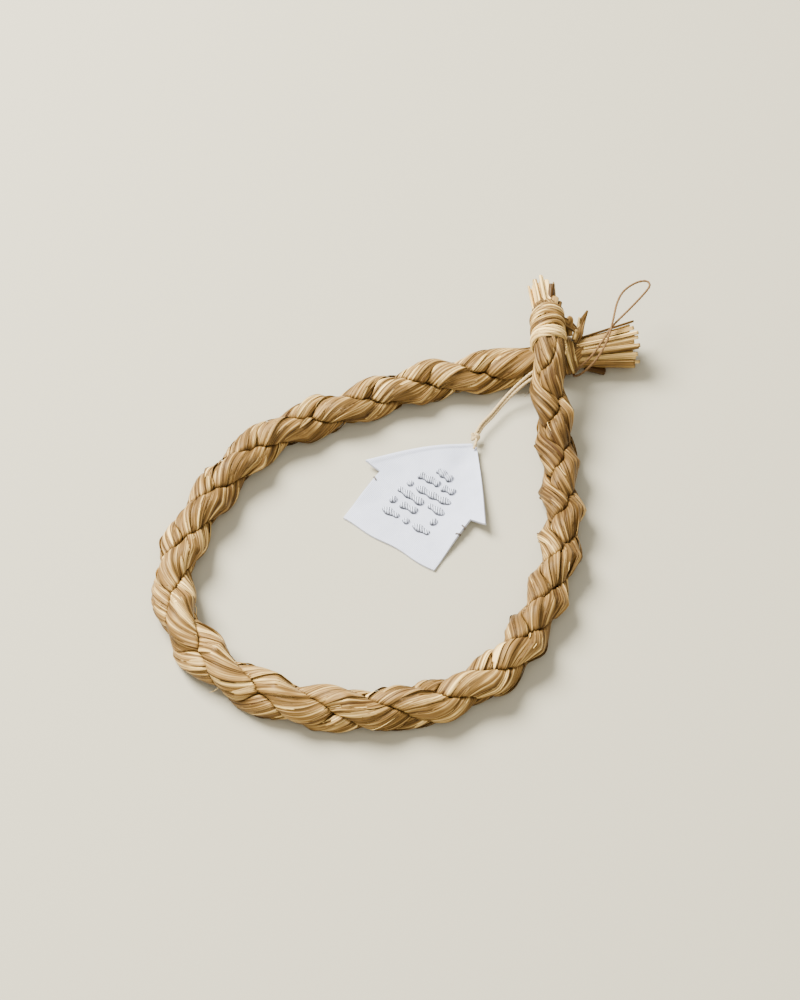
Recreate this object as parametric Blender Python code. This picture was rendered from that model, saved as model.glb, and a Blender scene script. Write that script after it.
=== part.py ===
"""Straw rope ornament: a three-strand straw plait bent into a teardrop loop, tied where its ends cross.

A thin hanging loop stands out right of the tie. A house-shaped cloth tag hangs on a doubled string left of it.
Metres, +Z up. The ornament lies on the plane z = 0, and +Y runs from the belly of the loop to its tie.
"""

import math

import bmesh
import bpy
from mathutils import Vector

# The strands
STRAND_COUNT = 3
STRAND_RADIUS = 0.0043
SWING = 0.0027
SWING_SHARPNESS = 0.2
RISE = 0.0019
CREASE = 0.0007
STRAND_SIDES = 9
RING_STEP = 0.0036

# The plait where the tie presses it into a round bundle
BUNDLE_SPREAD = 0.0024
FREE_GIRTH = 0.0090
BUNDLE_GIRTH = 0.0047
PLAIT_START = 0.026
PLAIT_END = 0.030
PLAIT_RAMP = 0.014
FIRST_PHASE = -150.0

# The middle line of the rope, from the cap of the upright end to the cap of the other end.
# Each station holds x, y, z, the roll of the plait in degrees, the length of one full plait, the tie's press, and how
# thick the strands are there.
STATIONS = (
    (-0.0101, 0.0822, 0.0186, 0, 0.055, 0.95, 1),
    (-0.0034, 0.0741, 0.0189, 0, 0.055, 1, 1),
    (0.0033, 0.0645, 0.0184, 5, 0.055, 0.95, 0.95),
    (0.0095, 0.0557, 0.0140, 8, 0.056, 0.75, 0.92),
    (0.0182, 0.0458, 0.0092, 12, 0.057, 0.1, 0.88),
    (0.0286, 0.0331, 0.0065, 14, 0.057, 0, 0.9),
    (0.0396, 0.0183, 0.0056, 17, 0.054, 0, 0.93),
    (0.0481, 0.0021, 0.0056, 18, 0.053, 0, 0.95),
    (0.0550, -0.0212, 0.0056, 20, 0.053, 0, 0.95),
    (0.0563, -0.0394, 0.0056, 30, 0.054, 0, 1),
    (0.0497, -0.0582, 0.0056, 45, 0.060, 0, 1.02),
    (0.0362, -0.0737, 0.0056, 70, 0.068, 0, 1.03),
    (0.0129, -0.0874, 0.0056, 95, 0.067, 0, 1.04),
    (-0.0123, -0.0910, 0.0056, 110, 0.070, 0, 1.05),
    (-0.0355, -0.0830, 0.0056, 125, 0.070, 0, 1.03),
    (-0.0497, -0.0648, 0.0056, 140, 0.064, 0, 1),
    (-0.0565, -0.0382, 0.0056, 155, 0.066, 0, 1),
    (-0.0557, -0.0103, 0.0056, 165, 0.067, 0, 0.97),
    (-0.0431, 0.0149, 0.0056, 172, 0.062, 0, 0.97),
    (-0.0288, 0.0383, 0.0056, 176, 0.060, 0, 1),
    (-0.0167, 0.0521, 0.0057, 180, 0.061, 0.1, 1.05),
    (-0.0043, 0.0656, 0.0056, 180, 0.062, 0.75, 1.05),
    (0.0056, 0.0768, 0.0071, 180, 0.062, 0.85, 1.05),
    (0.0093, 0.0807, 0.0073, 180, 0.062, 0.8, 1.05),
)

# The cut stalks that the strands end in
STALK_GAP = 0.0002
UPRIGHT_STALKS = 3
UPRIGHT_STALK_LENGTHS = (0.0086, 0.0072, 0.0080, 0.0058, 0.0090)
UPRIGHT_SPLAY = 0.10
LEVEL_STALKS = 4
LEVEL_STALK_LENGTHS = (0.0160, 0.0145, 0.0165, 0.0138, 0.0152)
LEVEL_SPLAY = 0.26

# The strip of straw that ties the crossing
STRIP_WIDTH = 0.0046
STRIP_THICKNESS = 0.0008
STRIP_GAP = 0.0005
TURN_COUNT = 3
TURN_GAP = 0.0001
TURN_STEP = STRIP_WIDTH + TURN_GAP
TURN_SEGMENTS = 14
FIRST_TURN_AT = 0.0068
STRAP_AFTER_TURNS = 2
BAND_BEFORE_CAP = 0.0075
STRAP_WIDTH = 0.0040
STRAP_RISE = 0.0004
STUB_RADIUS = 0.0014
STUB_REACH = (-0.0006, 0.0044, 0.0050)
SLIVER_WIDTH = 0.0026
SLIVER_TURN = 85.0
SLIVER_REACH = (-0.0018, 0.0100, 0.0045)

# The cords
CORD_SIDES_RESOLUTION = 2
HANGING_CORD_DIAMETER = 0.0008
HANGING_CORD_ROUTE = (
    (0.0115, 0.0700, 0.0040), (0.0130, 0.0710, 0.0090), (0.0146, 0.0729, 0.0146), (0.0141, 0.0798, 0.0162),
    (0.0136, 0.0875, 0.0166), (0.0143, 0.0976, 0.0168), (0.0148, 0.1055, 0.0174), (0.0145, 0.1096, 0.0178),
    (0.0125, 0.1104, 0.0180), (0.0101, 0.1079, 0.0178), (0.0088, 0.1025, 0.0178), (0.0099, 0.0964, 0.0180),
    (0.0136, 0.0870, 0.0182), (0.0163, 0.0793, 0.0172), (0.0169, 0.0736, 0.0146), (0.0149, 0.0716, 0.0090),
    (0.0131, 0.0694, 0.0040),
)
TAG_STRING_DIAMETER = 0.0011
TAG_STRING_ROUTES = (
    ((-0.0015, 0.0588, 0.0105), (-0.0023, 0.0563, 0.0075), (-0.0034, 0.0523, 0.0052),
     (-0.0038, 0.0472, 0.0042), (-0.0036, 0.0415, 0.0040), (-0.0039, 0.0365, 0.0040), (-0.0034, 0.0330, 0.0038)),
    ((0.0007, 0.0578, 0.0098), (0.0000, 0.0553, 0.0070), (-0.0013, 0.0513, 0.0048),
     (-0.0022, 0.0468, 0.0036), (-0.0021, 0.0415, 0.0028), (-0.0025, 0.0365, 0.0028), (-0.0022, 0.0330, 0.0028)),
)
CORD_POINT_STEP = 0.0027
KNOT_CENTRE = (-0.0027, 0.0310, 0.0030)
KNOT_RADIUS = 0.0017

# The cloth tag
TAG_FOOT = (-0.0012, -0.0199)
TAG_THICKNESS = 0.0010
TAG_WALL_HALF_WIDTH = 0.0178
TAG_WALL_HEIGHT = 0.0220
TAG_EAVE = 0.0058
TAG_ROOF_HEIGHT = 0.0262
TAG_POINT_HALF_WIDTH = 0.0012
TAG_BOW = 0.0012
TAG_WALL_ROWS = 5
TAG_WALL_COLUMNS = 9
TAG_ROOF_ROWS = 6
TAG_LIFT_RIGHT = 0.0042
TAG_LIFT_LEFT = 0.0024
TAG_LIFT_POINT = 0.0016
STROKE_INSET = 0.0011
STROKE_HEIGHT = 0.0005
# Each row of stitched strokes lists its strokes as the first and last cell that they cover.
STROKE_ROWS = {2: ((2, 3), (4, 4), (5, 6)), 3: ((2, 2), (3, 4), (6, 6)), 4: ((2, 4), (5, 6)),
               5: ((3, 3), (4, 6)), 6: ((3, 4), (5, 5), (6, 6))}


def smooth(value):
    """Eases a value between 0 and 1."""
    value = min(max(value, 0.0), 1.0)
    return value * value * (3 - 2 * value)


def mix(start, end, share):
    return start + (end - start) * share


def curve_through(points, step):
    """Reads points at an even step from a smooth curve through the given points."""
    points = [Vector(p) for p in points]
    padded = [2 * points[0] - points[1]] + points + [2 * points[-1] - points[-2]]
    fine = []
    for i in range(len(points) - 1):
        p0, p1, p2, p3 = padded[i:i + 4]
        for j in range(24):
            t = j / 24
            fine.append(0.5 * (2 * p1 + (p2 - p0) * t + (2 * p0 - 5 * p1 + 4 * p2 - p3) * t * t
                               + (3 * p1 - p0 - 3 * p2 + p3) * t * t * t))
    fine.append(points[-1])
    lengths = [0.0]
    for start, end in zip(fine, fine[1:]):
        lengths.append(lengths[-1] + (end - start).length)
    count = max(2, round(lengths[-1] / step))
    even, k = [], 0
    for i in range(count + 1):
        wanted = lengths[-1] * i / count
        while k < len(fine) - 2 and lengths[k + 1] < wanted:
            k += 1
        share = (wanted - lengths[k]) / (lengths[k + 1] - lengths[k])
        even.append(fine[k].lerp(fine[k + 1], share))
    return even, lengths[-1]


class Rope:
    """The middle line of the plait, with its frame, its phase and its press at each ring."""

    def __init__(self):
        self.points, self.length = curve_through([s[:3] for s in STATIONS], RING_STEP)
        settings = self.settings_along([s[3:] for s in STATIONS])
        self.rolls = [math.radians(s[0]) for s in settings]
        self.presses = [s[2] for s in settings]
        self.thicknesses = [s[3] for s in settings]
        self.step = self.length / (len(self.points) - 1)
        self.phases = self.phases_along([s[1] for s in settings])

    def settings_along(self, values):
        """Spreads the stations' settings over the rings that lie between the stations."""
        marks = []
        for station in STATIONS:
            place = Vector(station[:3])
            marks.append(min(range(len(self.points)), key=lambda i: (self.points[i] - place).length))
        found = []
        for i in range(len(self.points)):
            n = max(j for j in range(len(marks)) if marks[j] <= i)
            if n == len(marks) - 1:
                found.append(values[-1])
                continue
            share = (i - marks[n]) / max(1, marks[n + 1] - marks[n])
            found.append([mix(a, b, share) for a, b in zip(values[n], values[n + 1])])
        return found

    def phases_along(self, plaits):
        """Adds up how far the strands have swapped places, in degrees. They don't swap inside the tie."""
        phase, found = FIRST_PHASE, []
        for i, plait in enumerate(plaits):
            along = i * self.step
            swapping = smooth((along - PLAIT_START) / PLAIT_RAMP + 0.5)
            swapping *= smooth((self.length - PLAIT_END - along) / PLAIT_RAMP + 0.5)
            found.append(phase)
            phase += 360 * self.step / plait * swapping
        return found

    def frame(self, i):
        """The point of ring i, the way the rope runs there, the way out of the loop and the way up."""
        before = self.points[max(i - 1, 0)]
        after = self.points[min(i + 1, len(self.points) - 1)]
        along = (after - before).normalized()
        out = Vector((0, 0, 1)).cross(along).normalized()
        return self.points[i], along, out, along.cross(out)

    def girth(self, i):
        """The radius of the round bundle that the tie presses the rope into."""
        return mix(FREE_GIRTH, BUNDLE_GIRTH, self.presses[i])

    def centres(self, place):
        """Where the strands lie in the cross-section at a ring: a flat figure of eight, a third of a turn apart.

        The place may lie between two rings.
        """
        i = min(max(int(place), 0), len(self.points) - 2)
        share = min(max(place - i, 0), 1)
        press = mix(self.presses[i], self.presses[i + 1], share)
        phase = mix(self.phases[i], self.phases[i + 1], share)
        thickness = mix(self.thicknesses[i], self.thicknesses[i + 1], share)
        swing = mix(SWING * thickness, BUNDLE_SPREAD, press)
        rise = mix(RISE * thickness, BUNDLE_SPREAD, press)
        found = []
        for k in range(STRAND_COUNT):
            turn = math.radians(phase + 360 * k / STRAND_COUNT)
            wave = (math.sin(turn) - SWING_SHARPNESS * math.sin(3 * turn)) / (1 + SWING_SHARPNESS)
            found.append(Vector((swing * wave, -rise * math.sin(2 * turn))))
        return found

    def creases(self, i, strand):
        """The lines between a strand and its neighbours, at ring i and half a ring to each side."""
        found = []
        for place in (i - 0.5, i, i + 0.5):
            centres = self.centres(place)
            for k, other in enumerate(centres):
                if k != strand:
                    normal = (other - centres[strand]).normalized()
                    found.append(((other + centres[strand]) / 2 - normal * CREASE / 2, normal))
        return found

    def ring(self, i, strand):
        """The outline of one strand at ring i: a circle that its neighbours, the tie and the ground press flat."""
        point, along, out, up = self.frame(i)
        roll = self.rolls[i]
        side = math.cos(roll) * out + math.sin(roll) * up
        normal = -math.sin(roll) * out + math.cos(roll) * up
        own = self.centres(i)[strand]
        centre = point + side * own.x + normal * own.y
        creases = self.creases(i, strand)
        outline = []
        for j in range(STRAND_SIDES):
            turn = 2 * math.pi * j / STRAND_SIDES
            ray = Vector((math.cos(turn), math.sin(turn)))
            reach = STRAND_RADIUS * self.thicknesses[i]
            for line, away in creases:
                if ray.dot(away) > 0:
                    reach = min(reach, (line - own).dot(away) / ray.dot(away))
            inward = own.dot(ray)
            reach = min(reach, -inward + math.sqrt(inward ** 2 - own.length_squared + self.girth(i) ** 2))
            way = side * ray.x + normal * ray.y
            if way.z < 0:
                reach = min(reach, centre.z / -way.z)
            place = centre + way * reach
            place.z = max(place.z, 0.0)
            outline.append(place)
        return outline


def material(name, colour, roughness):
    made = bpy.data.materials.new(name)
    made.use_nodes = True
    shader = made.node_tree.nodes["Principled BSDF"]
    shader.inputs["Base Color"].default_value = (*colour, 1)
    shader.inputs["Roughness"].default_value = roughness
    shader.inputs["Metallic"].default_value = 0.0
    made.diffuse_color = (*colour, 1)
    return made


def add_object(name, bm, colour, roughness):
    """Turns a finished bmesh into an object with a material of its own."""
    bmesh.ops.recalc_face_normals(bm, faces=bm.faces)
    mesh = bpy.data.meshes.new(name)
    bm.to_mesh(mesh)
    bm.free()
    mesh.materials.append(material(name, colour, roughness))
    mesh.shade_smooth()
    mesh.set_sharp_from_angle(angle=math.radians(40))
    made = bpy.data.objects.new(name, mesh)
    bpy.context.collection.objects.link(made)
    return made


def grow_stalks(bm, rim, along, rope_centre, count, lengths, splay, first):
    """Ends a strand in separate cut stalks, which stand on sectors of its cap."""
    middle = bm.verts.new(sum((v.co for v in rim), Vector()) / len(rim))
    for n in range(count):
        start = round(n * len(rim) / count)
        end = round((n + 1) * len(rim) / count)
        sector = bm.faces.new([middle] + [rim[j % len(rim)] for j in range(start, end + 1)])
        bmesh.ops.inset_individual(bm, faces=[sector], thickness=STALK_GAP)
        tip = bmesh.ops.extrude_discrete_faces(bm, faces=[sector])["faces"][0]
        length = lengths[(first + n) % len(lengths)]
        spread = (tip.calc_center_median() - rope_centre) * (splay * length / BUNDLE_GIRTH)
        move = along * length + spread
        for v in tip.verts:
            v.co += move
            v.co.z = max(v.co.z, 0.0)


def build_strand(rope, strand):
    """Sweeps one strand from cap to cap and lets its stalks grow out of both caps."""
    bm = bmesh.new()
    rings = []
    for i in range(len(rope.points)):
        rings.append([bm.verts.new(p) for p in rope.ring(i, strand)])
    for ring, following in zip(rings, rings[1:]):
        for j in range(STRAND_SIDES):
            k = (j + 1) % STRAND_SIDES
            bm.faces.new((ring[j], following[j], following[k], ring[k]))
    last = len(rings) - 1
    grow_stalks(bm, rings[0], -rope.frame(0)[1], rope.points[0],
                UPRIGHT_STALKS, UPRIGHT_STALK_LENGTHS, UPRIGHT_SPLAY, strand)
    grow_stalks(bm, rings[-1][::-1], rope.frame(last)[1], rope.points[-1],
                LEVEL_STALKS, LEVEL_STALK_LENGTHS, LEVEL_SPLAY, strand)
    return add_object(f"straw_strand.{strand + 1:03d}", bm, (0.66, 0.46, 0.22), 0.6)


def strip_radius(rope, along):
    """How far the strip's middle layer lies from the rope's middle: clear of the rope over the strip's whole width."""
    first = max(int((along - STRIP_WIDTH / 2) / rope.step), 0)
    last = min(math.ceil((along + STRIP_WIDTH / 2) / rope.step), len(rope.points) - 1)
    girth = max(rope.girth(i) for i in range(first, last + 1))
    return girth + STRIP_GAP + STRIP_THICKNESS / 2


def point_along(rope, along):
    """The middle of the rope at a length along it, with its frame, between two rings."""
    i = min(int(along / rope.step), len(rope.points) - 2)
    share = along / rope.step - i
    return rope.points[i].lerp(rope.points[i + 1], share), *rope.frame(i)[1:]


def sweep_strip(bm, frames, width, thickness, closed):
    """Sweeps a flat strip through frames of a centre, its width's way and its thickness's way."""
    rings = []
    for centre, across, normal in frames:
        corners = ((-1, -1), (1, -1), (1, 1), (-1, 1))
        rings.append([bm.verts.new(centre + across * (a * width / 2) + normal * (b * thickness / 2))
                      for a, b in corners])
    pairs = list(zip(rings, rings[1:]))
    if closed:
        pairs.append((rings[-1], rings[0]))
    for ring, following in pairs:
        for j in range(4):
            bm.faces.new((ring[j], following[j], following[(j + 1) % 4], ring[(j + 1) % 4]))
    if not closed:
        bm.faces.new(rings[0])
        bm.faces.new(rings[-1][::-1])


def tie_turns(rope):
    """The strip's turns round the upright end."""
    bm = bmesh.new()
    frames = []
    for n in range(TURN_COUNT * TURN_SEGMENTS + 1):
        along = FIRST_TURN_AT + n / TURN_SEGMENTS * TURN_STEP
        centre, way, out, up = point_along(rope, along)
        turn = 2 * math.pi * n / TURN_SEGMENTS
        normal = math.cos(turn) * out + math.sin(turn) * up
        frames.append((centre + normal * strip_radius(rope, along), way, normal))
    sweep_strip(bm, frames, STRIP_WIDTH, STRIP_THICKNESS, False)
    return add_object("straw_tie", bm, (0.68, 0.50, 0.26), 0.6)


def tie_band(rope):
    """The strip's one wide turn round the other end."""
    bm = bmesh.new()
    along = rope.length - BAND_BEFORE_CAP
    centre, way, out, up = point_along(rope, along)
    radius = strip_radius(rope, along)
    frames = []
    for n in range(TURN_SEGMENTS):
        turn = 2 * math.pi * n / TURN_SEGMENTS
        normal = math.cos(turn) * out + math.sin(turn) * up
        frames.append((centre + normal * radius, way, normal))
    sweep_strip(bm, frames, STRIP_WIDTH, STRIP_THICKNESS, True)
    return add_object("tie_band_shape", bm, (0.68, 0.50, 0.26), 0.6)


def strap_line(rope):
    """The two ends of the strap: on the side of one of the turns and on top of the band."""
    leaves_at = FIRST_TURN_AT + STRAP_AFTER_TURNS * TURN_STEP
    centre, way, out, up = point_along(rope, leaves_at)
    start = centre + out * (strip_radius(rope, leaves_at) + STRAP_RISE)
    return start, on_band(rope, 65, 3 * STRAP_RISE), way


def on_band(rope, degrees, rise):
    """A point of the band's wall, at an angle from the outer side towards the top."""
    along = rope.length - BAND_BEFORE_CAP
    centre, way, out, up = point_along(rope, along)
    radius = strip_radius(rope, along)
    turn = math.radians(degrees)
    return centre + (math.cos(turn) * out + math.sin(turn) * up) * (radius + rise)


def tie_strap(rope):
    """The strip's slanting run from a turn's side to the top of the band."""
    bm = bmesh.new()
    start, end, way = strap_line(rope)
    run = end - start
    across = (way - run * way.dot(run) / run.length_squared).normalized()
    normal = run.cross(across).normalized()
    frames = [(start - run * 0.02, across, normal), (end, across, normal)]
    sweep_strip(bm, frames, STRAP_WIDTH, STRIP_THICKNESS * 1.2, False)
    return add_object("tie_strap_shape", bm, (0.68, 0.50, 0.26), 0.6)


def cone_between(name, foot, tip, foot_radius, tip_radius, sides):
    """A straight tapered piece from one point to another."""
    bm = bmesh.new()
    foot, tip = Vector(foot), Vector(tip)
    bmesh.ops.create_cone(bm, cap_ends=True, segments=sides, radius1=foot_radius, radius2=tip_radius,
                          depth=(tip - foot).length)
    turn = Vector((0, 0, 1)).rotation_difference(tip - foot)
    bmesh.ops.rotate(bm, verts=bm.verts, cent=(0, 0, 0), matrix=turn.to_matrix())
    bmesh.ops.translate(bm, verts=bm.verts, vec=(foot + tip) / 2)
    return add_object(name, bm, (0.68, 0.50, 0.26), 0.6)


def join_by_union(target, others):
    """Joins other closed shapes into the target and leaves them as hidden guides."""
    for other in others:
        union = target.modifiers.new(other.name, "BOOLEAN")
        union.operation = "UNION"
        union.solver = "EXACT"
        union.object = other
        other.hide_render = True
        other.display_type = "WIRE"


def build_tie(rope):
    """One strip of straw: the turns, the strap and the band, with its stub end and a split-off sliver."""
    tie = tie_turns(rope)
    start, end, way = strap_line(rope)
    stub_foot = start.lerp(end, 0.5)
    stub = cone_between("tie_stub_shape", stub_foot, stub_foot + Vector(STUB_REACH),
                        STUB_RADIUS, STUB_RADIUS * 0.8, 8)
    sliver_foot = on_band(rope, SLIVER_TURN, SLIVER_WIDTH * 0.4)
    sliver = cone_between("tie_sliver_shape", sliver_foot, sliver_foot + Vector(SLIVER_REACH),
                          SLIVER_WIDTH / 2, SLIVER_WIDTH / 16, 4)
    join_by_union(tie, [tie_strap(rope), tie_band(rope), stub, sliver])
    return tie


def build_cord(name, route, diameter, colour):
    """A cord as a tube through the points of its route."""
    points = curve_through(route, CORD_POINT_STEP)[0]
    curve = bpy.data.curves.new(name, "CURVE")
    curve.dimensions = "3D"
    curve.bevel_depth = diameter / 2
    curve.bevel_resolution = CORD_SIDES_RESOLUTION
    curve.use_fill_caps = True
    spline = curve.splines.new("POLY")
    spline.points.add(len(points) - 1)
    for place, point in zip(spline.points, points):
        place.co = (*point, 1)
    curve.materials.append(material(name, colour, 0.8))
    made = bpy.data.objects.new(name, curve)
    bpy.context.collection.objects.link(made)
    return made


def build_knot():
    """The small knot at the tag's point."""
    bm = bmesh.new()
    bmesh.ops.create_icosphere(bm, subdivisions=2, radius=KNOT_RADIUS)
    bmesh.ops.translate(bm, verts=bm.verts, vec=KNOT_CENTRE)
    return add_object("string_knot", bm, (0.75, 0.66, 0.50), 0.8)


def tag_place(across, along):
    """A point of the tag's underside, from its place across and along the flat tag."""
    height = TAG_WALL_HEIGHT + TAG_ROOF_HEIGHT
    upper = smooth(along / TAG_WALL_HEIGHT)
    bow = -TAG_BOW * math.sin(math.pi * along / height)
    side = across / (TAG_WALL_HALF_WIDTH + TAG_EAVE)
    lift = (TAG_LIFT_RIGHT if side > 0 else TAG_LIFT_LEFT) * side * side * upper
    lift += TAG_LIFT_POINT * smooth((along - TAG_WALL_HEIGHT) / TAG_ROOF_HEIGHT)
    return Vector((TAG_FOOT[0] + across + bow, TAG_FOOT[1] + along, max(lift - 0.0002, 0.0)))


def build_tag():
    """The sewn tag: walls and roof as one grid of cells, thickened, with rows of low stitched strokes."""
    bm = bmesh.new()
    cell = 2 * TAG_WALL_HALF_WIDTH / TAG_WALL_COLUMNS
    wall_xs = [-TAG_WALL_HALF_WIDTH + cell * i for i in range(TAG_WALL_COLUMNS + 1)]
    eave = TAG_WALL_HALF_WIDTH + TAG_EAVE
    roof_xs = [-eave] + wall_xs + [eave]
    rows = []
    for r in range(TAG_WALL_ROWS):
        along = TAG_WALL_HEIGHT * r / TAG_WALL_ROWS
        rows.append([None] + [bm.verts.new(tag_place(x, along)) for x in wall_xs] + [None])
    for r in range(TAG_ROOF_ROWS + 1):
        share = r / TAG_ROOF_ROWS
        along = TAG_WALL_HEIGHT + TAG_ROOF_HEIGHT * share
        narrowing = mix(1, TAG_POINT_HALF_WIDTH / eave, share)
        rows.append([bm.verts.new(tag_place(x * narrowing, along)) for x in roof_xs])
    cells = {}
    for r in range(len(rows) - 1):
        for c in range(len(roof_xs) - 1):
            corners = (rows[r][c], rows[r][c + 1], rows[r + 1][c + 1], rows[r + 1][c])
            if all(corners):
                cells[r, c - 1] = bm.faces.new(corners)
    lower = bm.faces[:]
    raised = bmesh.ops.extrude_face_region(bm, geom=lower, use_keep_orig=True)["geom"]
    for v in (g for g in raised if isinstance(g, bmesh.types.BMVert)):
        v.co.z += TAG_THICKNESS
    bmesh.ops.recalc_face_normals(bm, faces=bm.faces)
    upper = {}
    for place, face in cells.items():
        centre = face.calc_center_median() + Vector((0, 0, TAG_THICKNESS))
        upper[place] = min(bm.faces, key=lambda f: (f.calc_center_median() - centre).length)
    for row, strokes in STROKE_ROWS.items():
        for first, last in strokes:
            stroke = [upper[row, c] for c in range(first, last + 1)]
            bmesh.ops.inset_region(bm, faces=stroke, thickness=STROKE_INSET, use_even_offset=True)
            top = bmesh.ops.extrude_face_region(bm, geom=stroke)["geom"]
            for v in (g for g in top if isinstance(g, bmesh.types.BMVert)):
                v.co.z += STROKE_HEIGHT
            bmesh.ops.delete(bm, geom=stroke, context="FACES_ONLY")
    bmesh.ops.triangulate(bm, faces=bm.faces)
    return add_object("house_tag", bm, (0.86, 0.87, 0.89), 0.85)


def main():
    for leftover in list(bpy.data.objects):
        bpy.data.objects.remove(leftover)
    rope = Rope()
    for strand in range(STRAND_COUNT):
        build_strand(rope, strand)
    build_tie(rope)
    build_cord("hanging_cord", HANGING_CORD_ROUTE, HANGING_CORD_DIAMETER, (0.52, 0.40, 0.25))
    for n, route in enumerate(TAG_STRING_ROUTES):
        build_cord(f"tag_string.{n + 1:03d}", route, TAG_STRING_DIAMETER, (0.75, 0.66, 0.50))
    build_knot()
    build_tag()


main()
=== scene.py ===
"""Straw rope ornament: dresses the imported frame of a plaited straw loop, its tie, its cords and its tag.

Metres, +Z up. The ornament lies on the plane z = 0, and +Y runs from the belly of the loop to its tie.
"""

import math
import random

import bmesh
import bpy
import numpy as np
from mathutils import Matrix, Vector


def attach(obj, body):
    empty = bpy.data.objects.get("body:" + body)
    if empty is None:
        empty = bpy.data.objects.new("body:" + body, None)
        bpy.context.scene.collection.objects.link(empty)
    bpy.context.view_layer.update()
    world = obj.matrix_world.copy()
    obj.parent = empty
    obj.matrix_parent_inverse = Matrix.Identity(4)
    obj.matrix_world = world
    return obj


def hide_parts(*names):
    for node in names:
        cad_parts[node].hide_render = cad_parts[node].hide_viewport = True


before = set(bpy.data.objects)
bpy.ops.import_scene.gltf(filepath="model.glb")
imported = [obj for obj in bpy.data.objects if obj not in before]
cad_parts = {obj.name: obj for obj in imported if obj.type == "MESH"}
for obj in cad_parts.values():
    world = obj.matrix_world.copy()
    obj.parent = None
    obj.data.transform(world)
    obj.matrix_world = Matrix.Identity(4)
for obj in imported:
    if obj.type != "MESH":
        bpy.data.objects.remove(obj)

bl_info = {
    "name": "Straw Rope Ornament",
    "version": (1, 0, 0),
    "blender": (4, 5, 0),
    "location": "View3D > Sidebar > Ornament",
    "description": "A plaited straw loop with its tie, its cords and its sewn cloth tag",
    "category": "Object",
}

# The rope's middle line, as in the part: x, y, z, roll in degrees, length of one full plait, the tie's press,
# thickness
STATIONS = np.array((
    (-0.0101, 0.0822, 0.0186, 0, 0.055, 0.95, 1), (-0.0034, 0.0741, 0.0189, 0, 0.055, 1, 1),
    (0.0033, 0.0645, 0.0184, 5, 0.055, 0.95, 0.95), (0.0095, 0.0557, 0.0140, 8, 0.056, 0.75, 0.92),
    (0.0182, 0.0458, 0.0092, 12, 0.057, 0.1, 0.88), (0.0286, 0.0331, 0.0065, 14, 0.057, 0, 0.9),
    (0.0396, 0.0183, 0.0056, 17, 0.054, 0, 0.93), (0.0481, 0.0021, 0.0056, 18, 0.053, 0, 0.95),
    (0.0550, -0.0212, 0.0056, 20, 0.053, 0, 0.95), (0.0563, -0.0394, 0.0056, 30, 0.054, 0, 1),
    (0.0497, -0.0582, 0.0056, 45, 0.060, 0, 1.02), (0.0362, -0.0737, 0.0056, 70, 0.068, 0, 1.03),
    (0.0129, -0.0874, 0.0056, 95, 0.067, 0, 1.04), (-0.0123, -0.0910, 0.0056, 110, 0.070, 0, 1.05),
    (-0.0355, -0.0830, 0.0056, 125, 0.070, 0, 1.03), (-0.0497, -0.0648, 0.0056, 140, 0.064, 0, 1),
    (-0.0565, -0.0382, 0.0056, 155, 0.066, 0, 1), (-0.0557, -0.0103, 0.0056, 165, 0.067, 0, 0.97),
    (-0.0431, 0.0149, 0.0056, 172, 0.062, 0, 0.97), (-0.0288, 0.0383, 0.0056, 176, 0.060, 0, 1),
    (-0.0167, 0.0521, 0.0057, 180, 0.061, 0.1, 1.05), (-0.0043, 0.0656, 0.0056, 180, 0.062, 0.75, 1.05),
    (0.0056, 0.0768, 0.0071, 180, 0.062, 0.85, 1.05), (0.0093, 0.0807, 0.0073, 180, 0.062, 0.8, 1.05),
))
STRAND_COUNT = 3
SWING_SHARPNESS = 0.2
RISE = 0.0019
BUNDLE_SPREAD = 0.0024
FREE_GIRTH = 0.0090
BUNDLE_GIRTH = 0.0047
PLAIT_START = 0.026
PLAIT_END = 0.030
PLAIT_RAMP = 0.014
FIRST_PHASE = -150.0
TABLE_STEP = 0.0009
CREASE = 0.0003
ROUNDING = 9.0
FOLD_HEIGHT = 0.0007
FOLD_REACH = 0.5
# Eases the painted shade in the creases where the tie presses the strands
PRESSED_SHADE_EASING = 0.7
FLOOR_GAP = 0.00004

# A strand's skin: its grid, its closed ends, and its values where no leaf lies on it, where a lower tone and a
# higher edge value paint shade in the recess under the leaves
SKIN_COLUMNS = 112
SKIN_ROW = 0.00072
END_SINK = 0.0026
END_LENGTH = 0.0052
BARE_HEIGHT = -0.0002
BARE_SHADED_TONE = 0.44
BARE_EDGE_SHADE = 0.72

# The stalks' feet lie this deep in the bundle
STALK_DEPTH = 0.0068

# The strip that ties the crossing
STRIP_GAP = 0.0005
STRIP_THICKNESS = 0.0008
TURN_COUNT = 3
TURN_STEP = 0.0047
FIRST_TURN_AT = 0.0068
STRAP_AFTER_TURNS = 2
BAND_BEFORE_CAP = 0.0075
ACROSS_UPRIGHT = (0.81, 0.58, 0.0)

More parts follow.
